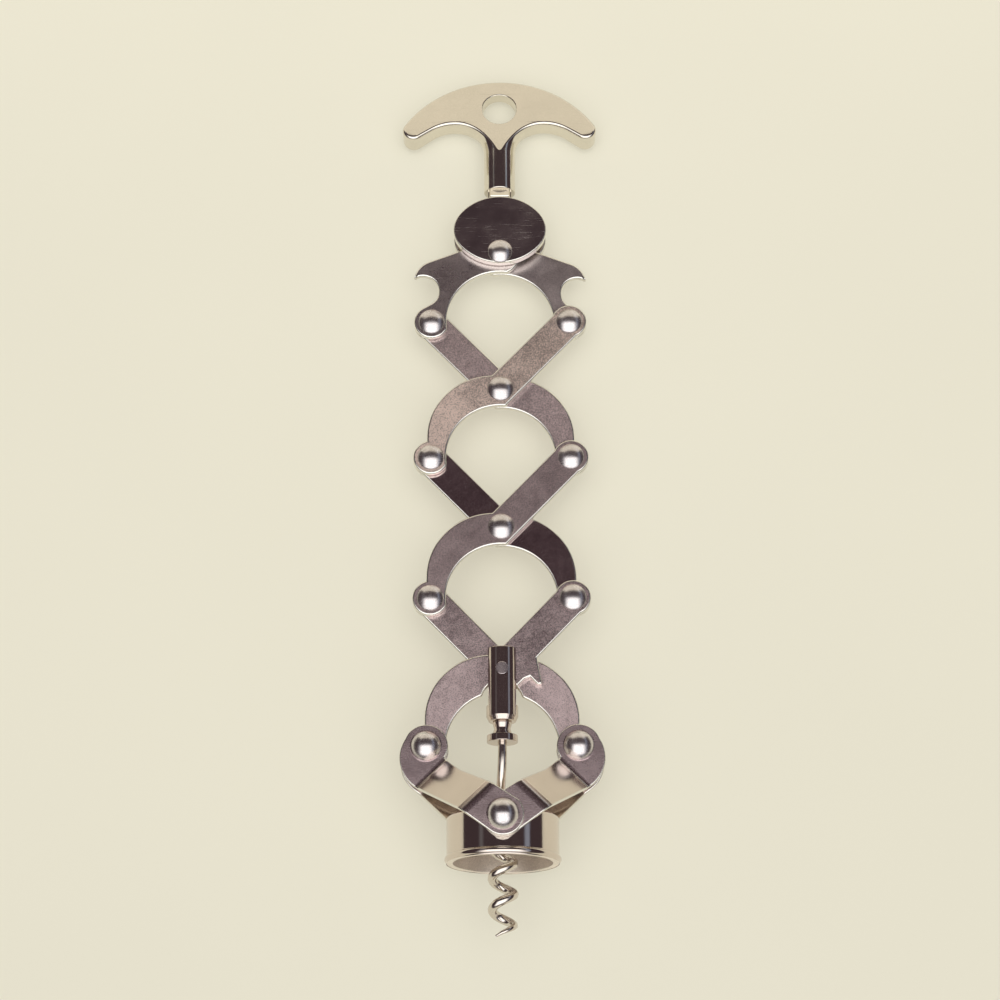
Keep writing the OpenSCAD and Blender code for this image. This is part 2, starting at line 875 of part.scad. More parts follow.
module handle() {
    color(polished) translate([0, top_y, 0]) {
        difference() {
            intersection() {
                union() {
                    linear_extrude(2 * handle_t, center = true) {
                        grip_half();
                        mirror([1, 0]) grip_half();
                    }
                    stem();
                }
                grip_profile();
            }
            translate([0, grip_top - hang_hole_y, 0])
                cylinder(r = hang_hole_r, h = 2 * handle_t, center = true);
        }
        collar();
        linear_extrude(2 * pad_z, center = true) difference() {
            translate([-tongue_w / 2, 0]) square([tongue_w, stem_y]);
            circle(eye_r + tongue_gap);
        }
    }
}

bell();
bell_rivet_front();
bell_rivet_back();
yoke_strip_front_left();
yoke_strip_front_right();
yoke_strip_back_left();
yoke_strip_back_right();
yoke_pin_left();
yoke_pin_right();
yoke_spacer_left();
yoke_spacer_right();
lower_link_front();
lower_link_back();
middle_link_front();
middle_link_back();
upper_link_front();
upper_link_back();
cap_lifter_left();
cap_lifter_right();
rivet_lower_left();
rivet_lower_right();
rivet_middle_left();
rivet_middle_right();
rivet_upper_left();
rivet_upper_right();
cross_rivet_middle();
cross_rivet_upper();
worm_holder();
holder_pin();
worm_head();
worm();
top_rivet();
cheek_front();
cheek_back();
handle();
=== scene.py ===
import json
import math

import bmesh
import bpy
from mathutils import Matrix, Vector
from mathutils.geometry import tessellate_polygon


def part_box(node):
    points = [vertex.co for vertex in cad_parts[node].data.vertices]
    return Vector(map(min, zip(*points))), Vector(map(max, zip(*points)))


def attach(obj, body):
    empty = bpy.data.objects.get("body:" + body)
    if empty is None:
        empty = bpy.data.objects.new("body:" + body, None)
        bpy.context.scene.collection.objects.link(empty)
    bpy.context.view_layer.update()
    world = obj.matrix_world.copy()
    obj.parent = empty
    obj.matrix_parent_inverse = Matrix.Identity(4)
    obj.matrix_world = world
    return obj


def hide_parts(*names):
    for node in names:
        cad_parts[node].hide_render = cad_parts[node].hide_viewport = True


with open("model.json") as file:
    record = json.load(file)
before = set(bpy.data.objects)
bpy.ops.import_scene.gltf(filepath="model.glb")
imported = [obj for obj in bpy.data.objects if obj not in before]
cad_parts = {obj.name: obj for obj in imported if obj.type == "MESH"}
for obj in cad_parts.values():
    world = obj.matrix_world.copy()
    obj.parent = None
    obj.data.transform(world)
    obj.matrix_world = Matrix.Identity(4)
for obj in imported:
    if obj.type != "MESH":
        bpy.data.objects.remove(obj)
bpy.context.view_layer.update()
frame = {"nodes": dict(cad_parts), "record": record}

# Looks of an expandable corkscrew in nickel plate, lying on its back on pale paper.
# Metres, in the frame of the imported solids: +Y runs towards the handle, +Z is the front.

MM = 0.001
NODES = frame["nodes"]
BODY = {n: b for b, ns in frame["record"]["behaviour"]["bodies"].items() for n in ns}
TOP_Y = sum(p.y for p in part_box("top_rivet")) / 2 / MM
BELL_PIVOT_Y = sum(p.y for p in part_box("bell_rivet_back")) / 2


# Nodes of the materials

class Graph:
    """Adds nodes to a material or world and joins them."""

    def __init__(self, owner):
        owner.use_nodes = True
        self.tree = owner.node_tree
        self.tree.nodes.clear()

    def node(self, kind, inputs=None, **settings):
        made = self.tree.nodes.new(kind)
        for key, value in settings.items():
            setattr(made, key, value)
        for key, value in (inputs or {}).items():
            self.put(made.inputs[key], value)
        return made

    def put(self, socket, value):
        if isinstance(value, bpy.types.NodeSocket):
            self.tree.links.new(value, socket)
        else:
            socket.default_value = value

    def math(self, operation, a, b=0.0, c=0.0):
        made = self.node("ShaderNodeMath", operation=operation)
        for socket, value in zip(made.inputs, (a, b, c)):
            self.put(socket, value)
        return made.outputs[0]

    def ramp(self, value, low, high, start, end, curve="SMOOTHSTEP"):
        made = self.node("ShaderNodeMapRange", interpolation_type=curve)
        for key, v in zip(("Value", "From Min", "From Max", "To Min", "To Max"),
                          (value, low, high, start, end)):
            self.put(made.inputs[key], v)
        return made.outputs["Result"]

    def band(self, value, low, high, soft):
        rise = self.ramp(value, low, low + soft, 0.0, 1.0)
        return self.math("MULTIPLY", rise, self.ramp(value, high - soft, high, 1.0, 0.0))

    def noise(self, vector, scale, detail=2.0, rough=0.5):
        made = self.node("ShaderNodeTexNoise", {"Vector": vector, "Scale": scale,
                                               "Detail": detail, "Roughness": rough})
        return made.outputs["Fac"]

    def mix(self, share, a, b):
        made = self.node("ShaderNodeMix", data_type="RGBA")
        self.put(made.inputs["Factor"], share)
        self.put(made.inputs["A"], a)
        self.put(made.inputs["B"], b)
        return made.outputs["Result"]

    def stretched(self, vector, turn, scale):
        made = self.node("ShaderNodeMapping", {"Vector": vector, "Rotation": (0, 0, turn),
                                               "Scale": scale})
        return made.outputs["Vector"]


def rgba(colour, gain=1.0):
    return (colour[0] * gain, colour[1] * gain, colour[2] * gain, 1.0)


# Noises of the plate: scale per metre, detail and roughness
SPECK, PATCH, HAZE = (3000, 2.0, 0.55), (420, 3.0, 0.6), (95, 3.0, 0.55)
NOISE_SPAN = (0.33, 0.67)
LINE_NOISE, LINE_SCALE, LINE_SPAN = (1.0, 2.0, 0.6), (120, 5200, 120), (0.60, 0.74)
SEED_STEP = (0.1, 0.07)
# Shares of the noises in the roughness and in the colour
PATCH_GLOSS, HAZE_GLOSS, PALER_GLOSS = 0.04, 0.3, 0.06
SPECK_SHADE, PATCH_SHADE, PALER_SHADE = 0.75, 0.05, 0.35
GLOSS_SPAN = (0.04, 0.9)
DARKEST, LIGHTEST = 0.62, 1.38
# Strength of the bumps, their height in metres, and the share of the scratches in it
BUMP, PLATE_BUMP, GRAIN_BUMP, LINE_BUMP = 0.2, 0.000004, 0.000012, 0.35


def plate(name, tint, rough, grain, cloud, scratch, turn, seed, paler_stretch=None):
    """Nickel plate: grain mottles its colour, cloud its gloss, and scratch draws fine lines.

    worn is a stretch along X, in millimetres, over which the plate turns paler and duller."""
    made = bpy.data.materials.new(name)
    g = Graph(made)
    where = g.node("ShaderNodeTexCoord").outputs["Object"]
    shift = (SEED_STEP[0] * seed, SEED_STEP[1] * seed, 0)
    spot = g.node("ShaderNodeMapping", {"Vector": where, "Location": shift}).outputs["Vector"]
    speck, patch, haze = (g.ramp(g.noise(spot, *sort), *NOISE_SPAN, -1.0, 1.0, "LINEAR")
                          for sort in (SPECK, PATCH, HAZE))
    lines = g.noise(g.stretched(spot, turn, LINE_SCALE), *LINE_NOISE)
    level = g.math("MULTIPLY_ADD", patch, PATCH_GLOSS * grain, rough)
    level = g.math("MULTIPLY_ADD", haze, HAZE_GLOSS * cloud, level)
    level = g.math("MULTIPLY_ADD", g.ramp(lines, *LINE_SPAN, 0.0, 1.0), scratch, level)
    shade = g.math("MULTIPLY_ADD", speck, SPECK_SHADE * grain, 0.5)
    shade = g.math("MULTIPLY_ADD", patch, PATCH_SHADE * grain, shade)
    shade = g.math("MULTIPLY_ADD", haze, cloud, shade)
    if paler_stretch:
        x = g.node("ShaderNodeSeparateXYZ", {"Vector": where}).outputs[0]
        share = g.ramp(x, paler_stretch[0] * MM, paler_stretch[1] * MM, 1.0, 0.0)
        level = g.math("MULTIPLY_ADD", share, PALER_GLOSS, level)
        shade = g.math("MULTIPLY_ADD", share, PALER_SHADE, shade)
    level = g.ramp(level, *GLOSS_SPAN, *GLOSS_SPAN, "LINEAR")
    colour = g.mix(g.ramp(shade, 0.0, 1.0, 0.0, 1.0, "LINEAR"),
                   rgba(tint, DARKEST), rgba(tint, LIGHTEST))
    height = g.math("MULTIPLY_ADD", lines, LINE_BUMP, speck)
    bump = g.node("ShaderNodeBump", {"Height": height, "Strength": BUMP,
                                     "Distance": PLATE_BUMP + GRAIN_BUMP * grain})
    skin = g.node("ShaderNodeBsdfPrincipled", {"Base Color": colour, "Roughness": level,
                                               "Metallic": 1.0, "Normal": bump.outputs[0]})
    out = g.node("ShaderNodeOutputMaterial")
    g.tree.links.new(skin.outputs[0], out.inputs["Surface"])
    return made


# Meshes

# A face whose normal has less of Z than this is a wall of a flat piece
WALL_LEAN = 0.5
# Degrees above which a corner is sharp, and below which neighbouring faces are one
CORNER, FLAT_WITHIN = 35.0, 0.3
# How near a point lies to a turned wall, and how squarely its face looks outwards
WALL_NEAR, WALL_FACING = 0.05 * MM, 0.96
# Metres within which points are joined
JOIN_CAD, JOIN_ROUNDED = 1e-6, 2e-6


def turned_normals(mesh, r):
    """Gives the round wall of a piece turned about the Y axis its exact normals."""
    normals = []
    for p in mesh.polygons:
        for i in p.vertices:
            ray = mesh.vertices[i].co * Vector((1, 0, 1))
            out = ray.normalized()
            wall = abs(ray.length - r) < WALL_NEAR and p.normal.dot(out) > WALL_FACING
            normals.append(out if wall else p.normal)
    mesh.normals_split_custom_set(normals)


def finish_piece(bm, name, node, material, sharp=CORNER, turned=None):
    """Turns a bmesh into a piece that stands for a CAD node."""
    bmesh.ops.recalc_face_normals(bm, faces=bm.faces)
    mesh = bpy.data.meshes.new(name)
    bm.to_mesh(mesh)
    bm.free()
    mesh.shade_smooth()
    mesh.set_sharp_from_angle(angle=math.radians(sharp))
    piece = bpy.data.objects.new(name, mesh)
    bpy.context.scene.collection.objects.link(piece)
    piece.data.materials.append(material)
    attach(piece, BODY[node])
    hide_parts(node)
    if turned:
        turned_normals(mesh, turned)
    else:
        weigh = piece.modifiers.new("even_faces", "WEIGHTED_NORMAL")
        weigh.keep_sharp = True
    return piece


def bare_mesh(node):
    """A CAD node's mesh with its corners joined and its flat faces whole."""
    source = NODES[node].data
    bm = bmesh.new()
    verts = [bm.verts.new(v.co) for v in source.vertices]
    for p in source.polygons:
        bm.faces.new([verts[i] for i in p.vertices])
    bmesh.ops.remove_doubles(bm, verts=bm.verts, dist=JOIN_CAD)
    bmesh.ops.dissolve_limit(bm, angle_limit=math.radians(FLAT_WITHIN), verts=bm.verts,
                             edges=bm.edges)
    return bm


def rounded_copy(node, material, rounding, spare=None, turned=None, edge=None):
    """A CAD node's own shape with its sharp corners rounded over, but not within spare.

    rounding is its width in millimetres and its steps, spare a centre and a radius, turned the
    radius of a round wall, and edge the material of the corners and walls."""
    width, steps = rounding
    bm = bare_mesh(node)
    edges = [e for e in bm.edges
             if len(e.link_faces) == 2 and e.calc_face_angle() > math.radians(CORNER)]
    if spare:
        centre, r = spare
        edges = [e for e in edges if (e.verts[0].co.xy - centre).length > r]
    made = bmesh.ops.bevel(bm, geom=edges, offset=width * MM, offset_type="OFFSET", segments=steps,
                           profile=0.5, affect="EDGES", clamp_overlap=False)
    # Corners and walls take the edge material, whose paler tint paints highlights on them
    if edge:
        bm.normal_update()
        for f in made["faces"] + [f for f in bm.faces if abs(f.normal.z) < WALL_LEAN]:
            f.material_index = 1
    bmesh.ops.remove_doubles(bm, verts=bm.verts, dist=JOIN_ROUNDED)
    piece = finish_piece(bm, node + "_plated", node, material, turned=turned)
    if edge:
        piece.data.materials.append(edge)
    return piece


def ring_faces(bm, rings, closed=True):
    """Joins rings of the same number of points with four-sided faces."""
    n = len(rings[0])
    for a, b in zip(rings, rings[1:]):
        for k in range(n if closed else n - 1):
            m = (k + 1) % n
            bm.faces.new((a[k], a[m], b[m], b[k]))


# Worm, in millimetres and degrees

WORM = {"wire_d": 2.8, "coil_r": 3.25, "pitch": 9.4, "length": 59.0, "straight": 2.0,
        "blend": 24.0, "curl": (15.0, 19.0), "point": 5.0, "turn": 130.0, "point_r": 0.4,
        "inside": 4.3}
WIRE_STEP, WIRE_SIDES, WIRE_REACH, WIRE_SHARP = 0.5, 28, 0.05, 50.0


def worm_point(s, start_y):
    """Point of the wire's line at the depth s below the worm head, in millimetres."""
    out = min(1.0, max(0.0, (s - WORM["straight"]) / WORM["blend"]))
    out = WORM["coil_r"] * out * out * (3 - 2 * out)
    start, length = WORM["curl"]
    t = max(0.0, (s - start) / length)
    wound = start + length * (t if t > 1 else (1 + t * t) / 2)
    turn = math.radians(WORM["turn"] - 360 * (WORM["length"] - wound) / WORM["pitch"])
    return Vector((out * math.cos(turn), start_y - s, out * math.sin(turn)))


def worm_piece(material):
    """A smooth wire along the worm's line, drawn to a point."""
    start_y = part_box("worm_head")[0].y / MM
    bm = bmesh.new()
    count = int((WORM["length"] + WORM["inside"]) / WIRE_STEP)
    stations = [-WORM["inside"] + k * WIRE_STEP for k in range(count)] + [WORM["length"]]
    around = [2 * math.pi * k / WIRE_SIDES for k in range(WIRE_SIDES)]
    rings, side = [], Vector((1, 0, 0))
    for s in stations:
        way = (worm_point(min(s + WIRE_REACH, WORM["length"]), start_y)
               - worm_point(s - WIRE_REACH, start_y))
        way.normalize()
        side = (side - side.dot(way) * way).normalized()
        other = way.cross(side)
        taper = min(1.0, (WORM["length"] - s) / WORM["point"])
        r = WORM["point_r"] + (WORM["wire_d"] / 2 - WORM["point_r"]) * taper
        centre = worm_point(s, start_y)
        rings.append([bm.verts.new(MM * (centre + r * (math.cos(a) * side + math.sin(a) * other)))
                      for a in around])
    ring_faces(bm, rings)
    bm.faces.new(rings[0])
    bm.faces.new(rings[-1])
    return finish_piece(bm, "worm_wire", "worm", material, WIRE_SHARP)


# Handle, in millimetres above the top rivet

GRIP = {"crown_r": 37.3, "top": 63.28, "wing_r": 3.5, "wing_y": 44.4, "hollow_r": 13.6,
        "hollow": (14.7, 32.9), "flare_r": 9.6, "hole_r": 5.6, "hole_y": 52.3, "stem_r": 5.1,
        "stem_y": 23.0, "taper_y": 35.6, "half_t": 5.2, "half_tip": 1.95,
        "collar_x": 3.4, "collar_z": 3.6, "foot_z": 4.9, "foot_y": 19.9,
        "tongue_x": 3.7, "tongue_z": 2.3, "tongue_r": 11.0}
GRIP_SLOPE = (GRIP["half_tip"] - GRIP["half_t"]) / (GRIP["top"] - GRIP["taper_y"])
V_TIP = GRIP["taper_y"] + (GRIP["stem_r"] - GRIP["half_t"]) / GRIP_SLOPE
EDGE_R, HOLE_EDGE, STEM_EDGE, FLAT_WALL = 1.1, 0.35, 0.35, 1e4
WALL_STEPS, EDGE_STEPS, STEM_ROWS, HOLE_SIDES, RIM_STEPS, TONGUE_STEPS = 14, 6, 8, 72, 3, 4
FLARE_STEPS, HOLLOW_STEPS, WING_STEPS, CROWN_STEPS = 44, 10, 28, 40
COLLAR_CUT, COLLAR_FOOT_CUT, HANDLE_SHARP = 0.35, 0.2, 32.0


def grip_face(y):
    """Height of the grip's face, which thins towards its top edge."""
    return min(GRIP["stem_r"], GRIP["half_t"] + GRIP_SLOPE * (y - GRIP["taper_y"]))


def arc_points(centre, r, start, end, steps, inward):
    """Points of an arc with the direction that leads into the grip."""
    for k in range(steps + 1):
        a = math.radians(start + (end - start) * k / steps)
        ray = Vector((math.cos(a), math.sin(a)))
        yield Vector(centre) + r * ray, ray * inward


def grip_outline():
    """Right half of the outline from the stem to the crown: point, way in, roundness of the wall."""
    g = GRIP
    hollow = Vector(g["hollow"])
    crown = Vector((0, g["top"] - g["crown_r"]))
    wing_x = math.sqrt((g["crown_r"] - g["wing_r"]) ** 2 - (g["wing_y"] - crown.y) ** 2)
    wing = Vector((wing_x, g["wing_y"]))
    span = wing - hollow
    lean = math.degrees(math.atan2(span.y, span.x)
                        + math.acos((g["hollow_r"] + g["wing_r"]) / span.length))
    tip = math.degrees(math.atan2(wing.y - crown.y, wing.x))
    flare = Vector((g["stem_r"] + g["flare_r"], hollow.y + g["hollow_r"] - g["flare_r"]))
    foot = g["stem_y"] + STEM_EDGE
    heights = [foot + (V_TIP - foot) * k / STEM_ROWS for k in range(STEM_ROWS + 1)]
    heights += [V_TIP + (flare.y - V_TIP) * k * k / 16 for k in range(1, 4)]
    rows = [(Vector((g["stem_r"], y)), Vector((-1, 0)), g["stem_r"]) for y in heights]
    for p, way in arc_points(flare, g["flare_r"], 180, 90, FLARE_STEPS, 1):
        rows.append((p, way, min(FLAT_WALL, p.x / max(1e-6, abs(way.x)))))
    for p, way in list(arc_points(hollow, g["hollow_r"], 90, lean, HOLLOW_STEPS, 1))[1:]:
        rows.append((p, way, FLAT_WALL))
    for p, way in arc_points(wing, g["wing_r"], lean - 180, tip, WING_STEPS, -1):
        rows.append((p, way, FLAT_WALL))
    for p, way in list(arc_points(crown, g["crown_r"], tip, 90, CROWN_STEPS, -1))[1:]:
        rows.append((p, way, FLAT_WALL))
    return rows


def grip_row(p, way, wall):
    """Points from the middle of the edge up to the face: a round wall, then the edge's rounding."""
    top = grip_face(p.y)
    turn = math.asin(min(1.0, (top - EDGE_R) / (wall - EDGE_R)))
    flat = [(wall * (1 - math.cos(a)), wall * math.sin(a))
            for a in (turn * k / WALL_STEPS for k in range(WALL_STEPS + 1))]
    middle = (wall - (wall - EDGE_R) * math.cos(turn), (wall - EDGE_R) * math.sin(turn))
    for k in range(1, EDGE_STEPS + 1):
        a = turn + (math.pi / 2 - turn) * k / EDGE_STEPS
        flat.append((middle[0] - EDGE_R * math.cos(a), middle[1] + EDGE_R * math.sin(a)))
    for inward, z in flat:
        q = p + way * inward
        yield q.x, q.y, z + (grip_face(q.y) - top) * z / top


def stem_end():
    """Rings that round the stem's lower edge over."""
    for k in range(RIM_STEPS + 1):
        a = math.pi / 2 * k / RIM_STEPS
        r = GRIP["stem_r"] - STEM_EDGE * (1 - math.cos(a))
        y = GRIP["stem_y"] + STEM_EDGE * (1 - math.sin(a))
        yield [(r * math.cos(t), y, r * math.sin(t))
               for t in (math.pi / 2 * j / WALL_STEPS for j in range(4 * WALL_STEPS))]


def box_ring(wide, deep, y, cut):
    """Level section of a block whose four long edges are cut."""
    x, z = wide - cut, deep - cut
    corners = [(wide, z), (x, deep), (-x, deep), (-wide, z),
               (-wide, -z), (-x, -deep), (x, -deep), (wide, -z)]
    return [(x, y, z) for x, z in corners]


def collar_rings():
    """The wedge-shaped collar under the stem."""
    g, cut = GRIP, COLLAR_CUT
    rise = (g["foot_z"] - g["collar_z"]) / (g["stem_y"] - g["foot_y"])
    yield box_ring(g["collar_x"], g["collar_z"] - rise * cut, g["stem_y"] + cut, cut)
    yield box_ring(g["collar_x"], g["foot_z"] - rise * cut, g["foot_y"] + cut, cut)
    yield box_ring(g["collar_x"] - cut, g["foot_z"] - cut, g["foot_y"], COLLAR_FOOT_CUT)


def tongue_rings():
    """The tongue between the cheeks, hollowed at its lower end."""
    g = GRIP
    across = [g["tongue_x"] * k / TONGUE_STEPS for k in range(-TONGUE_STEPS, TONGUE_STEPS + 1)]
    rim = [(x, -g["tongue_z"]) for x in across] + [(x, g["tongue_z"]) for x in across[::-1]]
    yield [(x, g["stem_y"] + STEM_EDGE, z) for x, z in rim]
    yield [(x, math.sqrt(g["tongue_r"] ** 2 - x * x), z) for x, z in rim]


def handle_piece(material):
    """Wedge-shaped grip with rounded edges that runs down into a round stem."""
    rows = grip_outline()
    bm = bmesh.new()

    def at(x, y, z):
        return bm.verts.new((x * MM, (TOP_Y + y) * MM, z * MM))

    rims = {}
    for side in (1, -1):
        for face in (1, -1):
            loops = [[at(side * x, y, face * z) for x, y, z in grip_row(*row)] for row in rows]
            ring_faces(bm, loops, closed=False)
            rims[side, face] = [loop[-1] for loop in loops[STEM_ROWS:]]
    around = [2 * math.pi * k / HOLE_SIDES for k in range(HOLE_SIDES)]
    for face in (1, -1):
        outer = rims[1, face] + rims[-1, face][-2:0:-1]
        loops = []
        for a in (math.pi / 2 * k / RIM_STEPS for k in range(RIM_STEPS + 1)):
            r = GRIP["hole_r"] + HOLE_EDGE * (1 - math.cos(a))
            spots = [(r * math.cos(t), GRIP["hole_y"] + r * math.sin(t)) for t in around]
            loops.append([at(x, y, face * (grip_face(y) - HOLE_EDGE * (1 - math.sin(a))))
                          for x, y in spots])
        ring_faces(bm, loops)
        rims["hole", face] = loops[0]
        every = outer + loops[-1]
        flat = [[v.co.to_2d().to_3d() for v in ring] for ring in (outer, loops[-1])]
        for triangle in tessellate_polygon(flat):
            bm.faces.new([every[i] for i in triangle])
    ring_faces(bm, [rims["hole", 1], rims["hole", -1]])
    # The stem's end goes on from the wall above it, the other two parts are closed
    for part, open_start in ((stem_end(), True), (collar_rings(), False), (tongue_rings(), False)):
        rings = [[at(*spot) for spot in ring] for ring in part]
        ring_faces(bm, rings)
        bm.faces.new(rings[-1])
        if not open_start:
            bm.faces.new(rings[0])
    bmesh.ops.remove_doubles(bm, verts=bm.verts, dist=JOIN_CAD)
    return finish_piece(bm, "handle_plated", "handle", material, HANDLE_SHARP)


# Camera, floor and light

CAMERA_TILT, CAMERA_ROLL, CAMERA_AWAY = 18.82, 0.277, 0.7861
CAMERA_AIM, CAMERA_LENS, CAMERA_SENSOR = (-0.00037, 0.11512, 0), 90.0, 36.0
CAMERA_CLIP = (0.01, 20.0)


def camera():
    """The photograph's viewpoint, worked out from the pivots' places in it."""
    tilt, roll = math.radians(CAMERA_TILT), math.radians(CAMERA_ROLL)
    look = Vector((0, math.sin(tilt), -math.cos(tilt)))
    right = Vector((1, 0, 0))
    up = right.cross(look)
    right, up = (math.cos(roll) * right - math.sin(roll) * up,
                 math.sin(roll) * right + math.cos(roll) * up)
    data = bpy.data.cameras.new("camera")
    data.lens, data.sensor_width = CAMERA_LENS, CAMERA_SENSOR
    data.clip_start, data.clip_end = CAMERA_CLIP
    made = bpy.data.objects.new("camera", data)
    made.matrix_world = Matrix((right, up, -look)).transposed().to_4x4()
    made.location = Vector(CAMERA_AIM) - CAMERA_AWAY * look
    bpy.context.scene.collection.objects.link(made)
    bpy.context.scene.camera = made


FLOOR_SLOPE, FLOOR_HALF = 0.075, 6.0
PAPER = (0.71, 0.69, 0.575)
# Colour of the lit paper, and its share of what the camera and the metal see of the floor
PAPER_LIT, PAPER_GLOW = (0.807, 0.768, 0.617), 0.5
TOOTH, CLOUD, TOOTH_SHARE, PAPER_SPREAD = (900, 4.0, 0.6), (7, 2.0, 0.5), 0.12, 0.015
PAPER_ROUGH, PAPER_SHINE, TOOTH_BUMP, TOOTH_HEIGHT = 0.9, 0.15, 0.15, 0.00005
# The dim room, the pale surroundings low down in it, and what the camera sees past the floor
WALLS, LOW_PAPER, LOW_SPAN, FAR_PAPER = (0.060, 0.042, 0.047), 0.93, (0.02, 0.06), 0.98
# The soft light: its colour, level, and its soft limits towards the handle, down and aside
BOX_COLOUR, BOX_LEVEL = (1.0, 0.985, 0.97), 1.75
BOX_EDGE, BOX_FOOT, BOX_SIDE = (-0.04, 0.16), (0.26, 0.52), (0.45, 0.80)
# Upright strips of light: colour, and limits sideways in parts of the height
STRIPS_OF_LIGHT = [((0.27, 0.30, 0.38), 0.9, 1.6), ((0.14, 0.13, 0.14), -1.25, -0.75)]
STRIP_SOFT, STRIP_LEAST_Z = 0.22, 0.05


def paper(name):
    """Plain paper, which the camera and the metal see partly as if no shadow fell on it."""
    made = bpy.data.materials.new(name)
    g = Graph(made)
    where = g.node("ShaderNodeTexCoord").outputs["Object"]
    tooth = g.noise(where, *TOOTH)
    shade = g.math("MULTIPLY_ADD", g.math("SUBTRACT", tooth, 0.5), TOOTH_SHARE,
                   g.noise(where, *CLOUD))
    colour = g.mix(g.ramp(shade, 0.3, 0.7, 0.0, 1.0),
                   rgba(PAPER, 1 - PAPER_SPREAD), rgba(PAPER, 1 + PAPER_SPREAD))
    bump = g.node("ShaderNodeBump", {"Height": tooth, "Strength": TOOTH_BUMP,
                                     "Distance": TOOTH_HEIGHT})
    skin = g.node("ShaderNodeBsdfPrincipled", {"Base Color": colour, "Roughness": PAPER_ROUGH,
                                               "Specular IOR Level": PAPER_SHINE,
                                               "Normal": bump.outputs[0]})
    glow = g.node("ShaderNodeEmission", {"Color": rgba(PAPER_LIT), "Strength": 1.0})
    ray = g.node("ShaderNodeLightPath").outputs
    seen = g.math("MAXIMUM", ray["Is Camera Ray"], ray["Is Glossy Ray"])
    seen = g.math("MAXIMUM", seen, ray["Is Transmission Ray"])
    both = g.node("ShaderNodeMixShader", {"Fac": g.math("MULTIPLY", seen, PAPER_GLOW)})
    g.tree.links.new(skin.outputs[0], both.inputs[1])
    g.tree.links.new(glow.outputs[0], both.inputs[2])
    out = g.node("ShaderNodeOutputMaterial")
    g.tree.links.new(both.outputs[0], out.inputs["Surface"])
    return made


def floor():
    """Pale paper that the bell's back rivet rests on, rising towards the handle."""
    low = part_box("bell_rivet_back")[0]
    bm = bmesh.new()
    corners = [(FLOOR_HALF * i, FLOOR_HALF * j) for i, j in ((-1, -1), (1, -1), (1, 1), (-1, 1))]
    bm.faces.new([bm.verts.new((x, y + BELL_PIVOT_Y, low.z + FLOOR_SLOPE * y)) for x, y in corners])
    mesh = bpy.data.meshes.new("floor")
    bm.to_mesh(mesh)
    bm.free()
    made = bpy.data.objects.new("floor", mesh)
    bpy.context.scene.collection.objects.link(made)
    mesh.materials.append(paper("pale_paper"))


def room():
    """A dim room with a broad soft light above the camera's side and pale surroundings low down."""
    world = bpy.data.worlds.new("room")
    bpy.context.scene.world = world
    g = Graph(world)
    way = g.node("ShaderNodeTexCoord").outputs["Generated"]
    x, y, z = g.node("ShaderNodeSeparateXYZ", {"Vector": way}).outputs
    box = g.ramp(y, *BOX_EDGE, 1.0, 0.0)
    box = g.math("MULTIPLY", box, g.ramp(z, *BOX_FOOT, 0.0, 1.0))
    aside = g.math("ABSOLUTE", x)
    box = g.math("MULTIPLY", box, g.ramp(aside, *BOX_SIDE, 1.0, 0.0))
    low = g.ramp(z, *LOW_SPAN, 1.0, 0.0)
    walls = g.mix(low, rgba(WALLS), rgba(PAPER, LOW_PAPER))
    side = g.math("DIVIDE", x, g.math("MAXIMUM", z, STRIP_LEAST_Z))
    for tint, left, right in STRIPS_OF_LIGHT:
        walls = g.mix(g.band(side, left, right, STRIP_SOFT), walls, rgba(tint))
    light = g.mix(box, walls, rgba(BOX_COLOUR, BOX_LEVEL))
    seen = g.node("ShaderNodeLightPath").outputs["Is Camera Ray"]
    light = g.mix(seen, light, rgba(PAPER, FAR_PAPER))
    back = g.node("ShaderNodeBackground", {"Color": light, "Strength": 1.0})
    out = g.node("ShaderNodeOutputWorld")
    g.tree.links.new(back.outputs[0], out.inputs["Surface"])


def card(name, place, aim, size, colour, power, glossy):
    """A soft lamp the size of a card, which polished faces mirror or not."""
    data = bpy.data.lights.new(name, "AREA")
    data.shape, data.size, data.size_y = "RECTANGLE", size[0], size[1]
    data.color, data.energy = colour, power
    made = bpy.data.objects.new(name, data)
    made.location = place
    made.rotation_mode = "QUATERNION"
    made.rotation_quaternion = (Vector(aim) - Vector(place)).to_track_quat("-Z", "Y")
    made.visible_camera = False
    made.visible_glossy = glossy
    bpy.context.scene.collection.objects.link(made)


# Materials and pieces

STRIPS = ["yoke_strip_front_left", "yoke_strip_front_right", "yoke_strip_back_left",
          "yoke_strip_back_right"]
BRIGHT = ["worm_holder", "worm_head", "yoke_spacer_left", "yoke_spacer_right"]

# Places, aims, sizes, colours and powers of the lamps, and whether polished faces mirror them
LAMPS = {
    "card_back": ((0, 0.465, 0.165), (0, 0, 0.165), (0.66, 0.30), (1.0, 0.93, 0.75), 0.5, True),
    "fill_above": ((0, 0.12, 1.2), (0, 0.12, 0), (1.1, 1.1), (1.0, 0.985, 0.96), 7.0, False),
}
NICKEL, WARM_NICKEL = (0.68, 0.59, 0.53), (0.70, 0.575, 0.515)
LILAC_NICKEL, GREY_NICKEL = (0.715, 0.58, 0.575), (0.68, 0.60, 0.595)
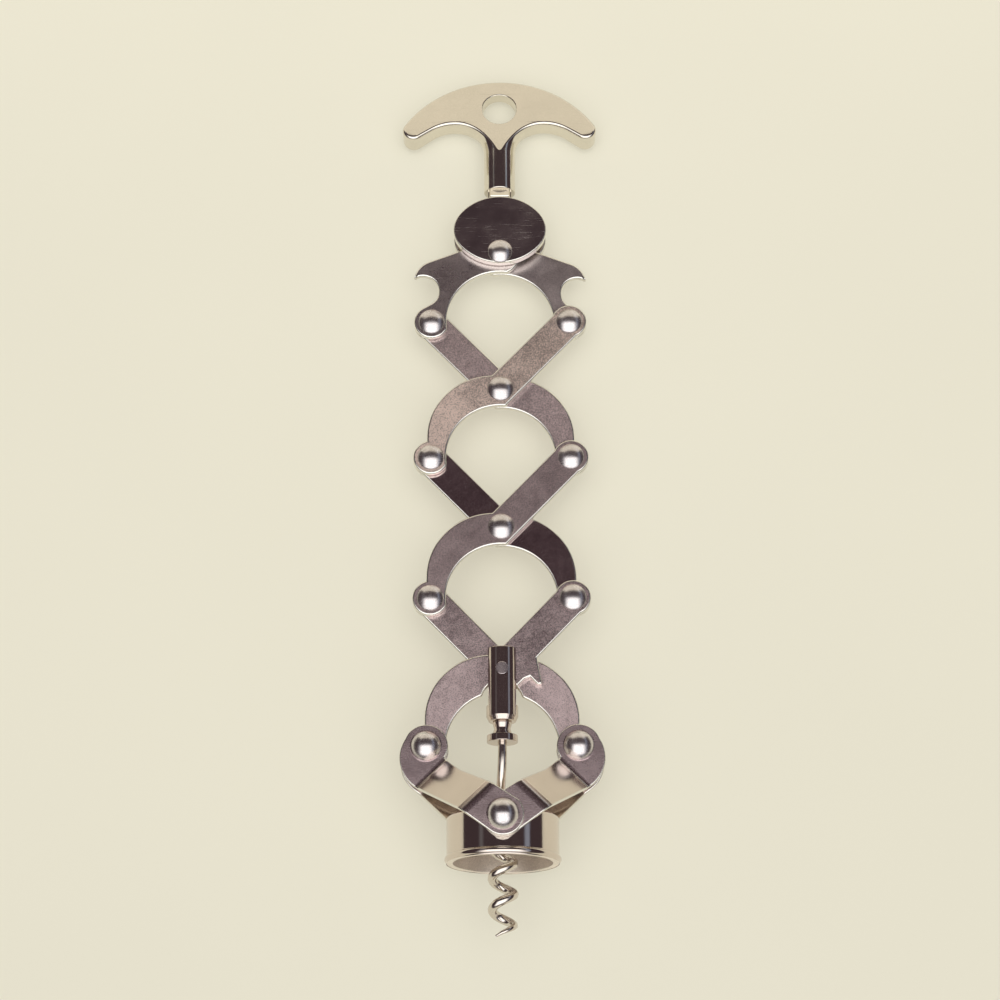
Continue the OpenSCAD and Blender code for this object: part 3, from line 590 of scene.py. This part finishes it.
# tint, roughness, grain, clouds, scratches, scratch direction and seed of each satin piece
SATIN = {
    "upper_link_front": (WARM_NICKEL, 0.46, 1.15, 0.12, 0.06, 0.7, 1.0),
    "upper_link_back": (LILAC_NICKEL, 0.395, 0.75, 0.06, 0.04, -0.7, 2.0),
    "middle_link_front": (LILAC_NICKEL, 0.325, 0.45, 0.06, 0.05, 0.7, 3.0),
    "middle_link_back": (LILAC_NICKEL, 0.15, 0.40, 0.08, 0.08, -0.7, 4.0),
    "lower_link_front": (LILAC_NICKEL, 0.303, 0.95, 0.06, 0.04, 0.7, 5.0),
    "lower_link_back": (LILAC_NICKEL, 0.326, 0.85, 0.06, 0.04, -0.7, 6.0),
    "cap_lifter_left": (GREY_NICKEL, 0.28, 0.34, 0.06, 0.05, 0.3, 7.0),
    "cap_lifter_right": (GREY_NICKEL, 0.33, 0.34, 0.10, 0.04, -0.3, 8.0),
}
# Stretches along X, in millimetres, over which a link turns paler and duller towards one side
PALER_STRETCH = {"upper_link_front": (-16, -2), "lower_link_front": (-16, 2), "lower_link_back": (16, -2)}
# The same values of the other materials
POLISHED = {
    # A paler nickel for corners and walls: its whiter tint paints highlights along them
    "edge_nickel_painted_highlight": ((0.82, 0.80, 0.745), 0.24, 0.12, 0.05, 0.05, 0.0, 10.0),
    "nickel_strip": ((0.70, 0.565, 0.57), 0.265, 0.26, 0.06, 0.05, 0.4, 11.0),
    "nickel_ramp": (NICKEL, 0.16, 0.06, 0.04, 0.03, 0.4, 11.5),
    "bright_nickel": (NICKEL, 0.12, 0.08, 0.04, 0.05, 0.0, 12.0),
    "dome_nickel": ((0.69, 0.65, 0.65), 0.26, 0.26, 0.06, 0.03, 0.0, 13.0),
    "pin_nickel": ((0.72, 0.64, 0.64), 0.27, 0.2, 0.1, 0.05, 0.0, 14.0),
    "cheek_nickel": ((0.76, 0.70, 0.67), 0.16, 0.20, 0.16, 0.17, 0.0, 15.0),
    "bell_nickel": ((0.70, 0.62, 0.56), 0.08, 0.06, 0.03, 0.05, 0.0, 16.0),
    # The bore is rougher, and its paler tint paints in light reflected inside the bell
    "bell_bore_painted_light": ((0.88, 0.81, 0.74), 0.44, 0.2, 0.1, 0.1, 0.0, 17.0),
    "worm_nickel": ((0.70, 0.64, 0.58), 0.12, 0.12, 0.05, 0.05, 0.0, 18.0),
    "handle_nickel": ((0.76, 0.715, 0.63), 0.11, 0.06, 0.04, 0.06, 0.0, 19.0),
}
# Width in millimetres and steps of the rounding of each sort of piece
ROUND_LINK, ROUND_CHEEK, ROUND_STRIP, ROUND_BRIGHT = (0.6, 4), (0.45, 3), (0.4, 3), (0.2, 2)
ROUND_DOME, ROUND_PIN = (0.12, 2), (0.15, 2)
# A strip's face belongs to its ramp where its normal has less of Z than this
RAMP_LEAN = 0.97
# Limits of the bell's bore, and of the edges around the holder's pin that stay sharp
BORE_R, BORE_Y, PIN_HOLE_R = 15.2 * MM, 13 * MM, 2.6 * MM

camera()
floor()
room()
for name, lamp in LAMPS.items():
    card(name, *lamp)
SKIN = {name: plate(name, *look) for name, look in POLISHED.items()}

for node, look in SATIN.items():
    skin = plate("satin_" + node, *look, paler_stretch=PALER_STRETCH.get(node))
    rounded_copy(node, skin, ROUND_LINK, edge=SKIN["edge_nickel_painted_highlight"])
for node in STRIPS:
    strip = rounded_copy(node, SKIN["nickel_strip"], ROUND_STRIP, edge=SKIN["edge_nickel_painted_highlight"])
    strip.data.materials.append(SKIN["nickel_ramp"])
    for p in strip.data.polygons:
        if p.material_index == 0 and abs(p.normal.z) < RAMP_LEAN:
            p.material_index = 2
for node in BRIGHT[1:]:
    rounded_copy(node, SKIN["bright_nickel"], ROUND_BRIGHT)
holder_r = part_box("worm_holder")[1].x
pin_place = sum(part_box("holder_pin"), Vector()).xy / 2
rounded_copy("worm_holder", SKIN["bright_nickel"], ROUND_BRIGHT, spare=(pin_place, PIN_HOLE_R),
             turned=holder_r)
for node in NODES:
    if "rivet" in node or node.startswith("yoke_pin"):
        rounded_copy(node, SKIN["dome_nickel"], ROUND_DOME)
rounded_copy("holder_pin", SKIN["pin_nickel"], ROUND_PIN, turned=holder_r)
for node in ("cheek_front", "cheek_back"):
    rounded_copy(node, SKIN["cheek_nickel"], ROUND_CHEEK, edge=SKIN["edge_nickel_painted_highlight"])
bell = rounded_copy("bell", SKIN["bell_nickel"], ROUND_BRIGHT)
# Faces inside the bore take the paler skin, which paints in light inside the bell
bell.data.materials.append(SKIN["bell_bore_painted_light"])
for p in bell.data.polygons:
    if p.center.xz.length < BORE_R and p.center.y < BORE_Y:
        p.material_index = 1
worm_piece(SKIN["worm_nickel"])
handle_piece(SKIN["handle_nickel"])

bpy.context.scene.view_settings.view_transform = "Standard"
